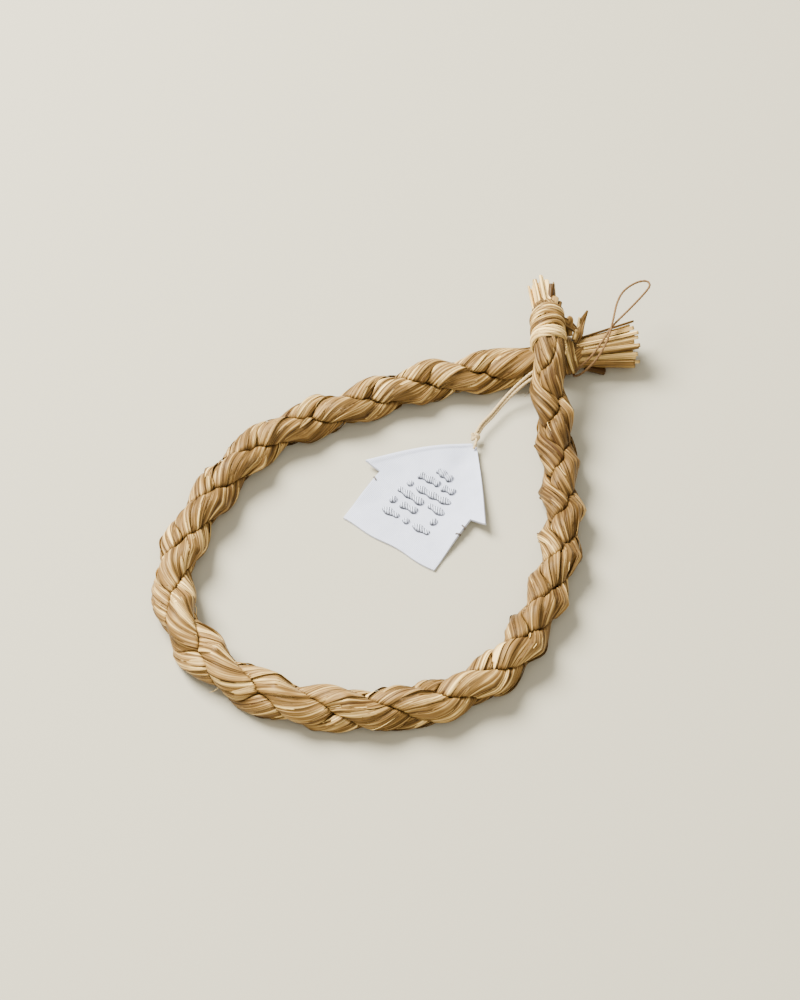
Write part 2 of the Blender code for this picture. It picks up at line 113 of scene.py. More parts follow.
# The cords' routes. Their ends reach a little further into the bundle and the knot than in the part.
HANGING_CORD_ROUTE = (
    (0.0086, 0.0732, 0.0052), (0.0099, 0.0717, 0.0062), (0.0118, 0.0726, 0.0096), (0.0136, 0.0764, 0.0130),
    (0.0139, 0.0822, 0.0154), (0.0136, 0.0878, 0.0164), (0.0143, 0.0976, 0.0168), (0.0148, 0.1055, 0.0174),
    (0.0145, 0.1096, 0.0178), (0.0125, 0.1104, 0.0180), (0.0101, 0.1079, 0.0178), (0.0088, 0.1025, 0.0178),
    (0.0099, 0.0964, 0.0180), (0.0132, 0.0884, 0.0179), (0.0152, 0.0828, 0.0166), (0.0158, 0.0784, 0.0146),
    (0.0150, 0.0745, 0.0112), (0.0126, 0.0718, 0.0070), (0.0102, 0.0712, 0.0044), (0.0090, 0.0724, 0.0038),
)
TAG_STRING_ROUTES = (
    ((0.0034, 0.0626, 0.0116), (0.0012, 0.0601, 0.0113), (-0.0009, 0.0566, 0.0089), (-0.0027, 0.0520, 0.0060),
     (-0.0034, 0.0472, 0.0044), (-0.0035, 0.0415, 0.0038), (-0.0037, 0.0365, 0.0038), (-0.0032, 0.0330, 0.0036),
     (-0.0030, 0.0298, 0.0031)),
    ((0.0044, 0.0608, 0.0108), (0.0024, 0.0587, 0.0104), (0.0000, 0.0556, 0.0079), (-0.0019, 0.0513, 0.0051),
     (-0.0027, 0.0468, 0.0036), (-0.0028, 0.0415, 0.0030), (-0.0030, 0.0365, 0.0030), (-0.0026, 0.0330, 0.0029),
     (-0.0026, 0.0298, 0.0031)),
)
KNOT_CENTRE = (-0.0027, 0.0310, 0.0030)
LAY_IN_DIAMETERS = 3.6

# The cloth tag, as in the part
TAG_FOOT = (-0.0012, -0.0199)
TAG_WALL_HALF_WIDTH = 0.0178
TAG_WALL_HEIGHT = 0.0220
TAG_EAVE = 0.0058
TAG_ROOF_HEIGHT = 0.0262
TAG_POINT_HALF_WIDTH = 0.0012
TAG_BOW = 0.0012
TAG_WALL_ROWS = 5
TAG_WALL_COLUMNS = 9
TAG_ROOF_ROWS = 6
TAG_LIFT_RIGHT = 0.0042
TAG_LIFT_LEFT = 0.0024
TAG_LIFT_POINT = 0.0016
STROKE_HALF_WIDTH = 0.0013
STROKE_INSET = 0.0007
STROKE_ABOVE_ROW = 0.00218
STROKE_ROWS = {2: ((2, 3), (4, 4), (5, 6)), 3: ((2, 2), (3, 4), (6, 6)), 4: ((2, 4), (5, 6)),
               5: ((2, 2), (3, 6)), 6: ((2, 4), (5, 6)), 7: ((3, 5),)}

# The photograph's camera: degrees, metres, and millimetres for its lens and sensor
CAMERA_AZIMUTH = 35.5
CAMERA_ELEVATION = 52
CAMERA_DISTANCE = 0.762
CAMERA_TARGET = (-0.0088, -0.0027, 0)
CAMERA_LENS = 85
CAMERA_SENSOR = 36


def size(name, description, default, low, high):
    """A length that a user may change, in metres."""
    return bpy.props.FloatProperty(name=name, description=description, default=default, min=low, max=high,
                                   subtype="DISTANCE", unit="LENGTH", precision=5)


def colour(name, description, default):
    """A colour that a user may change."""
    return bpy.props.FloatVectorProperty(name=name, description=description, default=default, min=0, max=1,
                                         size=3, subtype="COLOR")


class StrawSizes(bpy.types.PropertyGroup):
    """Sizes of the plait and of its leaves."""
    strand_radius: size("Strand Radius", "Radius of a strand where nothing presses it", 0.0041, 0.003, 0.006)
    swing: size("Swing", "How far a strand swings to each side of the rope", 0.0027, 0.002, 0.004)
    leaf_length: size("Leaf Length", "Length of a leaf that shows on a strand", 0.055, 0.02, 0.1)
    leaf_thickness: size("Leaf Thickness", "Thickness of one straw leaf", 0.00016, 0.00005, 0.0004)
    leaf_count: bpy.props.IntProperty(name="Leaves", description="Leaves laid round each strand",
                                      default=210, min=20, max=400)
    loose_count: bpy.props.IntProperty(name="Loose Leaves", description="Leaves that stand off each strand",
                                       default=46, min=0, max=200)
    hair_count: bpy.props.IntProperty(name="Stray Fibres", description="Thin fibres that stand off the rope",
                                      default=44, min=0, max=400)
    twist: bpy.props.FloatProperty(name="Leaf Twist", description="Slant of the leaves across their strand",
                                   default=math.radians(27), min=0, max=1, subtype="ANGLE", unit="ROTATION")


class TieSizes(bpy.types.PropertyGroup):
    """Sizes of the strip that ties the crossing."""
    width: size("Strip Width", "Width of the tying strip", 0.0044, 0.003, 0.007)
    thickness: size("Strip Thickness", "Thickness of the tying strip", 0.0005, 0.0002, 0.001)
    stalk_width: size("Stalk Width", "Width of a cut stalk", 0.0019, 0.001, 0.004)


class CordSizes(bpy.types.PropertyGroup):
    """Sizes of the cords."""
    hanging_diameter: size("Hanging Cord", "Diameter of the hanging cord", 0.0008, 0.0005, 0.002)
    string_diameter: size("Tag String", "Diameter of the tag's string", 0.0011, 0.0005, 0.002)


class TagSizes(bpy.types.PropertyGroup):
    """Sizes of the cloth tag."""
    thickness: size("Cloth Thickness", "Thickness of the folded cloth", 0.0009, 0.0004, 0.002)
    stroke_height: size("Stitch Height", "Height of the stitched strokes", 0.0011, 0.0002, 0.0015)
    thread_pitch: size("Thread Pitch", "Distance between two threads of a stroke", 0.00095, 0.0003, 0.002)


class OrnamentColours(bpy.types.PropertyGroup):
    """Colours of the straw, the cords, the cloth and the floor."""
    straw_pale: colour("Pale Straw", "The lightest leaves", (0.98, 0.67, 0.23))
    straw_gold: colour("Golden Straw", "Most of the leaves", (0.210, 0.112, 0.030))
    # The brown straw also gives the colour of the painted shade in the creases and at the leaves' edges.
    straw_brown_and_shade: colour("Brown Straw", "The darkest leaves and the folds", (0.042, 0.016, 0.004))
    hanging_cord: colour("Hanging Cord", "The thin hanging cord", (0.15, 0.078, 0.025))
    tag_string: colour("Tag String", "The tag's string", (0.50, 0.36, 0.17))
    cloth: colour("Cloth", "The tag's cotton", (0.56, 0.58, 0.66))
    thread: colour("Thread", "The stitched strokes", (0.42, 0.44, 0.50))
    floor: colour("Floor", "The floor under the ornament", (0.42, 0.383, 0.275))


def smooth(value):
    """Eases values between 0 and 1."""
    value = np.clip(value, 0, 1)
    return value * value * (3 - 2 * value)


def mix(start, end, share):
    return start + (end - start) * share


def unit(vectors):
    return vectors / np.linalg.norm(vectors, axis=-1, keepdims=True)


def smooth_line(points, step):
    """Points at an even step along a smooth line through the given ones, and the line's length."""
    points = np.array(points, float)
    padded = np.vstack((2 * points[0] - points[1], points, 2 * points[-1] - points[-2]))
    t = np.arange(24)[:, None] / 24
    spans = [0.5 * (2 * b + (c - a) * t + (2 * a - 5 * b + 4 * c - d) * t ** 2
                    + (3 * b - a - 3 * c + d) * t ** 3)
             for a, b, c, d in zip(padded, padded[1:], padded[2:], padded[3:])]
    fine = np.vstack(spans + [points[-1]])
    lengths = np.concatenate(([0], np.cumsum(np.linalg.norm(np.diff(fine, axis=0), axis=1))))
    even = np.linspace(0, lengths[-1], max(2, round(lengths[-1] / step)) + 1)
    return read_along(even, lengths, fine), lengths[-1]


def read_along(wanted, marks, values):
    """Reads a table of numbers or of points between its marks."""
    if values.ndim == 1:
        return np.interp(wanted, marks, values)
    return np.stack([np.interp(wanted, marks, values[:, k]) for k in range(values.shape[1])], axis=-1)


class Rope:
    """The plait's middle line with its frame, phase and press, read at any length along it."""

    def __init__(self):
        self.points, self.length = smooth_line(STATIONS[:, :3], TABLE_STEP)
        count = len(self.points)
        self.marks = np.linspace(0, self.length, count)
        nearest = [np.argmin(np.linalg.norm(self.points - s[:3], axis=1)) for s in STATIONS]
        roll, plait, self.press, self.thickness = (np.interp(np.arange(count), nearest, STATIONS[:, k])
                                                   for k in (3, 4, 5, 6))
        self.along = unit(np.gradient(self.points, axis=0))
        self.out = unit(np.cross((0, 0, 1), self.along))
        self.up = np.cross(self.along, self.out)
        roll = np.radians(roll)[:, None]
        self.side = np.cos(roll) * self.out + np.sin(roll) * self.up
        self.normal = np.cos(roll) * self.up - np.sin(roll) * self.out
        swapping = smooth((self.marks - PLAIT_START) / PLAIT_RAMP + 0.5)
        swapping *= smooth((self.length - PLAIT_END - self.marks) / PLAIT_RAMP + 0.5)
        turns = np.cumsum(self.marks[1] / plait * swapping)
        self.phase = math.radians(FIRST_PHASE) + 2 * math.pi * (turns - turns[0])
        self.girth = mix(FREE_GIRTH, BUNDLE_GIRTH, self.press)

    def read(self, values, along):
        return read_along(along, self.marks, values)


def strand_surface(rope, strand, along, turn, lift):
    """Points of a strand's skin, from lengths along the rope and angles round the strand, and how deeply each
    point lies in the creases, which the finish paints as shade.

    The neighbours, the tie and the ground each stop the skin at some distance. They are joined softly.
    """
    straw = bpy.context.scene.ornament_straw
    press = rope.read(rope.press, along)
    phase = rope.read(rope.phase, along)
    thickness = rope.read(rope.thickness, along)
    swing = mix(straw.swing * thickness, BUNDLE_SPREAD, press)
    rise = mix(RISE * thickness, BUNDLE_SPREAD, press)
    middles = []
    for k in range(STRAND_COUNT):
        angle = phase + 2 * math.pi * k / STRAND_COUNT
        wave = (np.sin(angle) - SWING_SHARPNESS * np.sin(3 * angle)) / (1 + SWING_SHARPNESS)
        middles.append(np.stack((swing * wave, -rise * np.sin(2 * angle)), axis=-1))
    own = middles[strand]
    ray = np.stack((np.cos(turn), np.sin(turn)), axis=-1)
    side, normal = rope.read(rope.side, along), rope.read(rope.normal, along)
    way = side * ray[:, :1] + normal * ray[:, 1:]
    centre = rope.read(rope.points, along) + side * own[:, :1] + normal * own[:, 1:]
    stops = (straw.strand_radius * thickness) ** -ROUNDING
    for k in range(STRAND_COUNT):
        if k != strand:
            apart = middles[k] - own
            distance = np.linalg.norm(apart, axis=1)
            facing = np.maximum((ray * apart).sum(axis=1) / distance, 0)
            stops += (facing / (distance / 2 - CREASE / 2)) ** ROUNDING
    inward = (own * ray).sum(axis=1)
    girth = rope.read(rope.girth, along)
    stops += (np.sqrt(inward ** 2 - (own ** 2).sum(axis=1) + girth ** 2) - inward) ** -ROUNDING
    stops += (np.maximum(-way[:, 2], 0) / centre[:, 2]) ** ROUNDING
    reach = stops ** (-1 / ROUNDING)
    swung = np.clip(1 - np.abs(np.cos(phase + 2 * math.pi * strand / STRAND_COUNT)) / FOLD_REACH, 0, 1)
    outward = np.clip(inward / np.linalg.norm(own, axis=1), 0, 1)
    fold = FOLD_HEIGHT * smooth(swung) * swung * outward ** 2 * (1 - press)
    points = centre + way * (reach + lift + fold)[:, None]
    points[:, 2] = np.maximum(points[:, 2], FLOOR_GAP)
    # The second value is painted shade for the creases: 0 on a strand's top, rising where its neighbours press
    # on it, and eased where the tie presses the strands.
    return points, np.clip(1 - reach / straw.strand_radius, 0, 1) * (1 - PRESSED_SHADE_EASING * press)


def lay_leaves(rope, strand, along, turn):
    """Covers a strand with slanting leaves, and reads the height, the tone and the edge of the top leaf."""
    straw = bpy.context.scene.ornament_straw
    dice = random.Random(40 + strand)
    twist = math.tan(straw.twist) / (2 * math.pi * straw.strand_radius)
    height = np.full_like(along, BARE_HEIGHT)
    tone = np.full_like(along, BARE_SHADED_TONE)
    edge = np.full_like(along, BARE_EDGE_SHADE)
    count = straw.leaf_count
    for n in range(count):
        span = straw.leaf_length * dice.uniform(0.6, 1.35)
        start = (n + dice.random()) / count * (rope.length + span) - span
        middle = n * 0.618 + dice.uniform(-0.07, 0.07)
        half = dice.uniform(0.030, 0.074)
        layer = dice.uniform(0, 0.00046)
        crown = dice.uniform(0.00004, 0.00022)
        curl = dice.choice((-1, 1)) * dice.uniform(0, 0.00022)
        shade = min(max(dice.gauss(0.50, 0.055), 0.40), 0.70)
        wander = dice.uniform(0.006, 0.022)
        sway = dice.uniform(0, 6.28)
        share = (along - start) / span
        taper = np.sqrt(np.maximum(1 - np.abs(2 * share - 1) ** 3.2, 1e-6))
        wound = turn / (2 * math.pi) + (along - start) * twist - middle + wander * np.sin(sway + 5 * share)
        across = ((wound + 0.5) % 1 - 0.5) / (half * taper)
        rise = layer * taper + crown * (1 - across ** 2) + curl * across ** 3
        top = (share > 0) & (share < 1) & (np.abs(across) < 1) & (rise > height)
        height = np.where(top, rise, height)
        tone = np.where(top, shade, tone)
        # How far across the top leaf a point lies; the finish paints shade towards the leaves' edges from it.
        edge = np.where(top, np.abs(across), edge)
    return height, tone, edge


def new_skin():
    """A mesh to build on, with a UV map and the values that the straw's finish reads."""
    bm = bmesh.new()
    bm.loops.layers.uv.new("UVMap")
    for name in ("leaf_tone", "crease", "leaf_edge"):
        bm.verts.layers.float.new(name)
    return bm


def add_patch(bm, columns, rows, place, closed=False, tone=None):
    """Lays a grid over a surface. place turns shares across and along into points, and may add values."""
    made = bmesh.ops.create_grid(bm, x_segments=columns, y_segments=rows, size=0.5, calc_uvs=True)["verts"]
    shares = np.array([v.co[:2] for v in made]) + 0.5
    found = place(shares[:, 0], shares[:, 1])
    points, values = found if isinstance(found, tuple) else (found, ())
    for v, point in zip(made, points):
        v.co = point
    for name, numbers in dict(values).items():
        layer = bm.verts.layers.float[name]
        for v, number in zip(made, numbers):
            v[layer] = number
    if tone is not None:
        layer = bm.verts.layers.float["leaf_tone"]
        for v in made:
            v[layer] = tone
    if closed:
        bmesh.ops.remove_doubles(bm, verts=made, dist=1e-7)
        made = [v for v in made if v.is_valid]
    return made


def close_ends(bm):
    """Fills every open end with a face."""
    open_edges = [e for e in bm.edges if e.is_boundary]
    bmesh.ops.holes_fill(bm, edges=open_edges, sides=0)


def scale_uvs(mesh, width, length, slant=0.0):
    """Turns the grid's UVs into metres. slant leans them along a cord's twist."""
    layer = mesh.uv_layers[0]
    shares = np.empty(len(mesh.loops) * 2)
    layer.uv.foreach_get("vector", shares)
    shares = shares.reshape(-1, 2)
    shares[:, 0] = shares[:, 0] * width + shares[:, 1] * length * slant
    shares[:, 1] *= length
    layer.uv.foreach_set("vector", shares.ravel())


def add_piece(name, bm, finish, body="root"):
    """Turns a finished mesh into a piece that rides on the ornament."""
    mesh = bpy.data.meshes.new(name)
    bmesh.ops.recalc_face_normals(bm, faces=bm.faces)
    bm.to_mesh(mesh)
    bm.free()
    mesh.shade_smooth()
    mesh.materials.append(finish)
    piece = bpy.data.objects.new(name, mesh)
    bpy.context.collection.objects.link(piece)
    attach(piece, body)
    return piece


def thicken(piece, thickness, offset=-1.0):
    """Gives a leaf or a strip its thickness."""
    wall = piece.modifiers.new("Thickness", "SOLIDIFY")
    wall.thickness = thickness
    wall.offset = offset
    wall.use_even_offset = False


def new_finish(name):
    """A material with its nodes and its shader."""
    made = bpy.data.materials.get(name)
    if made:
        return made, None, None
    made = bpy.data.materials.new(name)
    made.use_nodes = True
    tree = made.node_tree
    return made, tree, tree.nodes["Principled BSDF"]


def add_node(tree, kind, settings=(), **inputs):
    """A node with some of its settings and inputs set, by number or by link."""
    node = tree.nodes.new(kind)
    for key, value in dict(settings).items():
        setattr(node, key, value)
    for key, value in inputs.items():
        socket = node.inputs[int(key[1:])] if key[0] == "i" and key[1:].isdigit() else node.inputs[key]
        if isinstance(value, bpy.types.NodeSocket):
            tree.links.new(value, socket)
        else:
            socket.default_value = value
    return node


def add_maths(tree, operation, first, second):
    return add_node(tree, "ShaderNodeMath", {"operation": operation}, i0=first, i1=second).outputs[0]


def add_ramp(tree, value, stops):
    """A colour that runs through the given stops."""
    ramp = add_node(tree, "ShaderNodeValToRGB", i0=value)
    elements = ramp.color_ramp.elements
    while len(elements) < len(stops):
        elements.new(0.5)
    for element, (place, shade) in zip(elements, stops):
        element.position = place
        element.color = (*shade, 1)
    return ramp.outputs[0]


def read_value(tree, name):
    return add_node(tree, "ShaderNodeAttribute", {"attribute_name": name}).outputs["Fac"]


def add_fade(tree, value, start, end, top=1.0):
    """Rises softly from 0 to top while the value goes from start to end."""
    return add_node(tree, "ShaderNodeMapRange", {"interpolation_type": "SMOOTHSTEP"},
                    i0=value, i1=start, i2=end, i4=top).outputs[0]


def set_shader(tree, shader, shade, values):
    """Links the colour to the shader and sets its other values."""
    tree.links.new(shade, shader.inputs["Base Color"])
    for name, value in values.items():
        shader.inputs[name].default_value = value


def add_bump(tree, shader, height, distance, strength):
    bump = add_node(tree, "ShaderNodeBump", Height=height, Distance=distance, Strength=strength)
    tree.links.new(bump.outputs[0], shader.inputs["Normal"])


def streaks(tree, uv, across, along, seed, detail=3.0):
    """Noise drawn out along the fibres. across and along are its grain in metres."""
    spread = add_node(tree, "ShaderNodeMapping", i0=uv, i3=(1 / across, 1 / along, 1))
    return add_node(tree, "ShaderNodeTexNoise", {"noise_dimensions": "4D"}, Vector=spread.outputs[0],
                    W=seed, Scale=1.0, Detail=detail, Roughness=0.55).outputs[0]


def straw_finish():
    """Dry straw: each leaf has a tone, fine fibres and streaks. Painted shade darkens it in the creases between
    strands and towards each leaf's edges, and painted light makes the strands' tops lighter.
    """
    colours = bpy.context.scene.ornament_colours
    made, tree, shader = new_finish("dry_straw")
    if tree is None:
        return made
    uv = add_node(tree, "ShaderNodeUVMap").outputs[0]
    tone, crease, edge = (read_value(tree, name) for name in ("leaf_tone", "crease", "leaf_edge"))
    seed = add_maths(tree, "MULTIPLY", tone, 40.0)
    fibres = streaks(tree, uv, 0.00045, 0.016, seed)
    bands = streaks(tree, uv, 0.0010, 0.030, seed, 2.0)
    place = add_node(tree, "ShaderNodeTexCoord").outputs["Object"]
    patches = add_node(tree, "ShaderNodeTexNoise", Vector=place, Scale=75.0, Detail=3.0).outputs[0]
    # Painted shade: each leaf darkens towards its edges and lightens in its middle, as light falls across its
    # curve.
    painted_leaf_shade = add_maths(tree, "POWER", edge, 2.0)
    value = add_maths(tree, "ADD", tone, -0.11)
    # Painted light and shade: the strands' tops, where the value for the creases is low, are made lighter, and
    # the creases darker.
    for source, middle, share in ((fibres, 0.5, 1.2), (bands, 0.5, 1.0), (patches, 0.5, 0.35),
                                  (crease, 0.10, -1.8), (painted_leaf_shade, 0.35, -0.20)):
        part = add_maths(tree, "MULTIPLY", add_maths(tree, "SUBTRACT", source, middle), share)
        value = add_maths(tree, "ADD", value, part)
    pale, gold, brown = colours.straw_pale, colours.straw_gold, colours.straw_brown_and_shade
    deep = [g * 0.42 for g in gold]
    tan = [mix(a, b, 0.38) for a, b in zip(gold, pale)]
    shade = add_ramp(tree, value, ((0.08, brown), (0.36, deep), (0.60, gold), (0.78, tan), (0.96, pale)))
    # Painted shade: the creases between strands turn towards brown.
    fold = add_fade(tree, crease, 0.14, 0.46)
    # Painted shade and dark edges: thin dark lines at the leaves' edges, partly the leaves' own darker edges
    # and partly shade in the gaps between them.
    rim = add_fade(tree, edge, 0.80, 1.0, 0.90)
    cracks = add_fade(tree, bands, 0.42, 0.32, 0.75)
    # The colour is mixed towards the brown straw by the painted shade of the creases and leaf edges, and by the
    # dark cracks along the fibres.
    dark = add_maths(tree, "MAXIMUM", fold, add_maths(tree, "MAXIMUM", rim, cracks))
    shade = add_node(tree, "ShaderNodeMix", {"data_type": "RGBA"},
                     i0=dark, i6=shade, i7=(*brown, 1)).outputs[2]
    set_shader(tree, shader, shade, {"Roughness": 0.42, "Specular IOR Level": 0.16,
                                     "Specular Tint": (1.0, 0.82, 0.5, 1)})
    height = add_maths(tree, "ADD", fibres, add_maths(tree, "MULTIPLY", bands, 2.0))
    add_bump(tree, shader, height, 0.00026, 1.0)
    return made


def thread_finish(name, tint, grain):
    """Spun thread: fibres lie along the plies, with a soft sheen."""
    made, tree, shader = new_finish(name)
    if tree is None:
        return made
    uv = add_node(tree, "ShaderNodeUVMap").outputs[0]
    fibres = streaks(tree, uv, grain, grain * 9, 0.0)
    shade = add_ramp(tree, fibres, ((0.25, [c * 0.62 for c in tint]), (0.5, tint),
                                    (0.8, [min(c * 1.15, 1) for c in tint])))
    set_shader(tree, shader, shade, {"Roughness": 0.82, "Specular IOR Level": 0.2, "Sheen Weight": 0.06,
                                     "Sheen Roughness": 0.5})
    add_bump(tree, shader, fibres, 0.00012, 0.6)
    return made


def satin_finish(name, tint):
    """Shiny stitching thread, with painted shade between its threads and along the strokes' edges."""
    made, tree, shader = new_finish(name)
    if tree is None:
        return made
    uv = add_node(tree, "ShaderNodeUVMap").outputs[0]
    fibres = streaks(tree, uv, 0.00009, 0.0012, 0.0)
    # Painted shade: darkest between the threads and at the strokes' edges.
    gap_shade = read_value(tree, "leaf_edge")
    lit = add_maths(tree, "SUBTRACT", add_maths(tree, "ADD", fibres, 0.40), gap_shade)
    shade = add_ramp(tree, lit, ((0.0, [c * 0.08 for c in tint]), (0.45, [c * 0.70 for c in tint]),
                                 (0.85, [min(c * 1.6, 1) for c in tint])))
    set_shader(tree, shader, shade, {"Roughness": 0.34, "Specular IOR Level": 0.6, "Sheen Weight": 0.2})
    add_bump(tree, shader, fibres, 0.00006, 0.5)
    return made


def cotton_finish():
    """Plain woven cotton, a little grey in soft patches: painted shade of the ripples that its bump gives it.
    """
    colours = bpy.context.scene.ornament_colours
    made, tree, shader = new_finish("tag_cotton")
    if tree is None:
        return made
    uv = add_node(tree, "ShaderNodeUVMap").outputs[0]
    threads = []
    for turn in (0.0, math.pi / 2):
        turned = add_node(tree, "ShaderNodeMapping", i0=uv, i2=(0, 0, turn))
        wave = add_node(tree, "ShaderNodeTexWave", {"wave_type": "BANDS", "bands_direction": "X"},
                        Vector=turned.outputs[0], Scale=620.0, Distortion=1.2, Detail=2.0)
        threads.append(wave.outputs["Fac"])
    weave = add_maths(tree, "ADD", *threads)
    place = add_node(tree, "ShaderNodeTexCoord").outputs["Object"]
    folds = add_node(tree, "ShaderNodeTexNoise", Vector=place, Scale=160.0, Detail=4.0).outputs[0]
    tint = colours.cloth
    # Painted shade: the low parts of the soft ripples are greyed.
    shade = add_ramp(tree, folds, ((0.3, [c * 0.90 for c in tint]), (0.65, tint)))
    woven = add_ramp(tree, weave, ((0.2, (0.7, 0.7, 0.7)), (1.0, (1, 1, 1))))
    shade = add_node(tree, "ShaderNodeMix", {"data_type": "RGBA", "blend_type": "MULTIPLY"},
                     i0=0.16, i6=shade, i7=woven).outputs[2]
    set_shader(tree, shader, shade, {"Roughness": 0.88, "Sheen Weight": 0.15})
    height = add_maths(tree, "ADD", add_maths(tree, "MULTIPLY", weave, 0.35), folds)
    add_bump(tree, shader, height, 0.00025, 0.6)
    return made


def build_strand(rope, strand):
    """One strand of the plait, with its leaves, and the shade painted in its creases."""
    straw = bpy.context.scene.ornament_straw
    twist = math.tan(straw.twist) / (2 * math.pi * straw.strand_radius)

    def place(across, along):
        along = along * rope.length
        turn = (across - along * twist) * 2 * math.pi
        height, tone, edge = lay_leaves(rope, strand, along, turn)
        height = height - END_SINK * (1 - smooth(np.minimum(along, rope.length - along) / END_LENGTH))
        points, crease = strand_surface(rope, strand, along, turn, height)
        return points, {"leaf_tone": tone, "crease": crease, "leaf_edge": edge}

    bm = new_skin()
    add_patch(bm, SKIN_COLUMNS, round(rope.length / SKIN_ROW), place, closed=True)
    close_ends(bm)
    piece = add_piece(f"straw_strand_skin_{strand + 1}", bm, straw_finish())
    scale_uvs(piece.data, 2 * math.pi * straw.strand_radius, rope.length)
    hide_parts(f"straw_strand.{strand + 1:03d}")
    return piece


def build_loose_leaves(rope, strand):
    """Leaves that lie on a strand with their edges standing off it."""
    straw = bpy.context.scene.ornament_straw
    dice = random.Random(90 + strand)
    twist = math.tan(straw.twist) / straw.strand_radius
    bm = new_skin()
    for n in range(straw.loose_count):
        span = dice.uniform(0.016, 0.034)
        start = mix(0.022, rope.length - 0.030 - span, (n + dice.uniform(0.1, 0.9)) / straw.loose_count)
        middle = n * 2.399 + dice.uniform(-0.4, 0.4)
        half = dice.uniform(0.14, 0.36)
        lift = dice.uniform(0.00035, 0.00060)
        curl = dice.uniform(0.0001, 0.0006)
        lean = dice.choice((-1, 1))
        tone = min(max(dice.gauss(0.56, 0.06), 0.44), 0.76)
        ahead = dice.uniform(0.8, 1.25)

        def place(across, along):
            a = across * 2 - 1
            taper = np.maximum(1 - np.abs(2 * along - 1) ** 3, 0.02) ** 0.7
            length = start + along * span
            turn = middle - twist * ahead * along * span + a * half * taper
            height = lift * smooth(np.minimum(along, 1 - along) * 7) + 0.0001
            height = height + curl * np.clip(a * lean, 0, 1) ** 2 * taper
            points, crease = strand_surface(rope, strand, length, turn, height)
            # The loose leaves keep the strand's painted shade in the creases and darken towards their edges as
            # painted shade.
            return points, {"crease": crease * 0.8, "leaf_edge": np.abs(a) * 0.9}

        add_patch(bm, 6, 22, place, tone=tone)
    piece = add_piece(f"loose_leaves_{strand + 1}", bm, straw_finish())
    scale_uvs(piece.data, 0.003, 0.028)
    thicken(piece, straw.leaf_thickness, 0.0)
    return piece


def build_hairs(rope):
    """Stray fibres that stand off the rope."""
    straw = bpy.context.scene.ornament_straw
    dice = random.Random(130)
    twist = math.tan(straw.twist) / straw.strand_radius
    bm = new_skin()
    for n in range(straw.hair_count):
        strand = n % STRAND_COUNT
        span = dice.uniform(0.004, 0.013)
        start = mix(0.026, rope.length - 0.032, (n + dice.random()) / straw.hair_count)
        turn = dice.uniform(0, 2 * math.pi)
        steps = np.linspace(0, 1, 9)
        rise = -0.0002 + dice.uniform(0.0008, 0.0030) * steps ** dice.uniform(1.2, 2.2)
        drift = dice.uniform(-0.35, 0.2) * steps ** 2
        wound = turn - twist * span * steps + drift
        points = strand_surface(rope, strand, start + span * steps, wound, rise)[0]
        points[:, 2] = np.maximum(points[:, 2], 0.0004)
        thickness = dice.uniform(0.00013, 0.00028)
        widths = (thickness, thickness, thickness * 0.4)
        add_blade(bm, points, widths, unit(points[4] * (1, 1, 0)), dice.uniform(0.5, 1))
    piece = add_piece("stray_fibres", bm, straw_finish())
    scale_uvs(piece.data, 0.0003, 0.010)
    thicken(piece, 0.00012, 0.0)
    return piece


def build_camera():
    """The camera at the photograph's angle."""
    view = bpy.data.objects.new("photo_camera", bpy.data.cameras.new("photo_camera"))
    bpy.context.collection.objects.link(view)
    turn, rise = math.radians(CAMERA_AZIMUTH), math.radians(CAMERA_ELEVATION)
    back = Vector((math.sin(turn) * math.cos(rise), -math.cos(turn) * math.cos(rise), math.sin(rise)))
    view.location = Vector(CAMERA_TARGET) + back * CAMERA_DISTANCE
    view.rotation_euler = (-back).to_track_quat("-Z", "Y").to_euler()
    view.data.lens = CAMERA_LENS
    view.data.sensor_width = CAMERA_SENSOR
    view.data.clip_start = 0.01
    bpy.context.scene.camera = view


def add_soft_light(name, place, target, width, energy):
    light = bpy.data.lights.new(name, "AREA")
    light.shape = "DISK"
    light.size = width
    light.energy = energy
    made = bpy.data.objects.new(name, light)
    bpy.context.collection.objects.link(made)
    made.location = place
    made.rotation_euler = (Vector(target) - Vector(place)).to_track_quat("-Z", "Y").to_euler()


def build_floor():
    """A plain pale floor."""
    bm = bmesh.new()
    bmesh.ops.create_grid(bm, x_segments=1, y_segments=1, size=3)
    mesh = bpy.data.meshes.new("floor")
    bm.to_mesh(mesh)
    bm.free()
    made, _, shader = new_finish("pale_floor")
    shade = (*bpy.context.scene.ornament_colours.floor, 1)
    for name, value in (("Base Color", shade), ("Roughness", 0.9), ("Specular IOR Level", 0.2)):
        shader.inputs[name].default_value = value
    mesh.materials.append(made)
    floor = bpy.data.objects.new("floor", mesh)
    bpy.context.collection.objects.link(floor)


def carry_frames(points):
    """Two ways across a line at each of its points, turned as little as possible from one to the next."""
    ways = unit(np.gradient(points, axis=0))
    first = np.cross(ways[0], (0.31, 0.95, 0.05))
    found = []
    for way in ways:
        first = first - way * first.dot(way)
        first = first / np.linalg.norm(first)
        found.append(first)
    first = np.array(found)
    return first, np.cross(ways, first)


def add_cord_skin(bm, points, diameter, plies, lay, sides, step):
    """A twisted cord round a line. lay is the length of one twist."""
    first, second = carry_frames(points)
    marks = np.linspace(0, 1, len(points))
    length = np.linalg.norm(np.diff(points, axis=0), axis=1).sum()

    def place(across, along):
        turn = across * 2 * math.pi
        twist = turn - 2 * math.pi * along * length / lay
        depth = 0.30 * (1 - np.abs(np.cos(twist * plies / 2)))
        radius = (diameter / 2 * (1 - depth))[:, None]
        a, b = read_along(along, marks, first), read_along(along, marks, second)
        ray = np.cos(turn)[:, None] * a + np.sin(turn)[:, None] * b
        return read_along(along, marks, points) + radius * ray

    add_patch(bm, sides, round(length / step), place, closed=True)
    return length


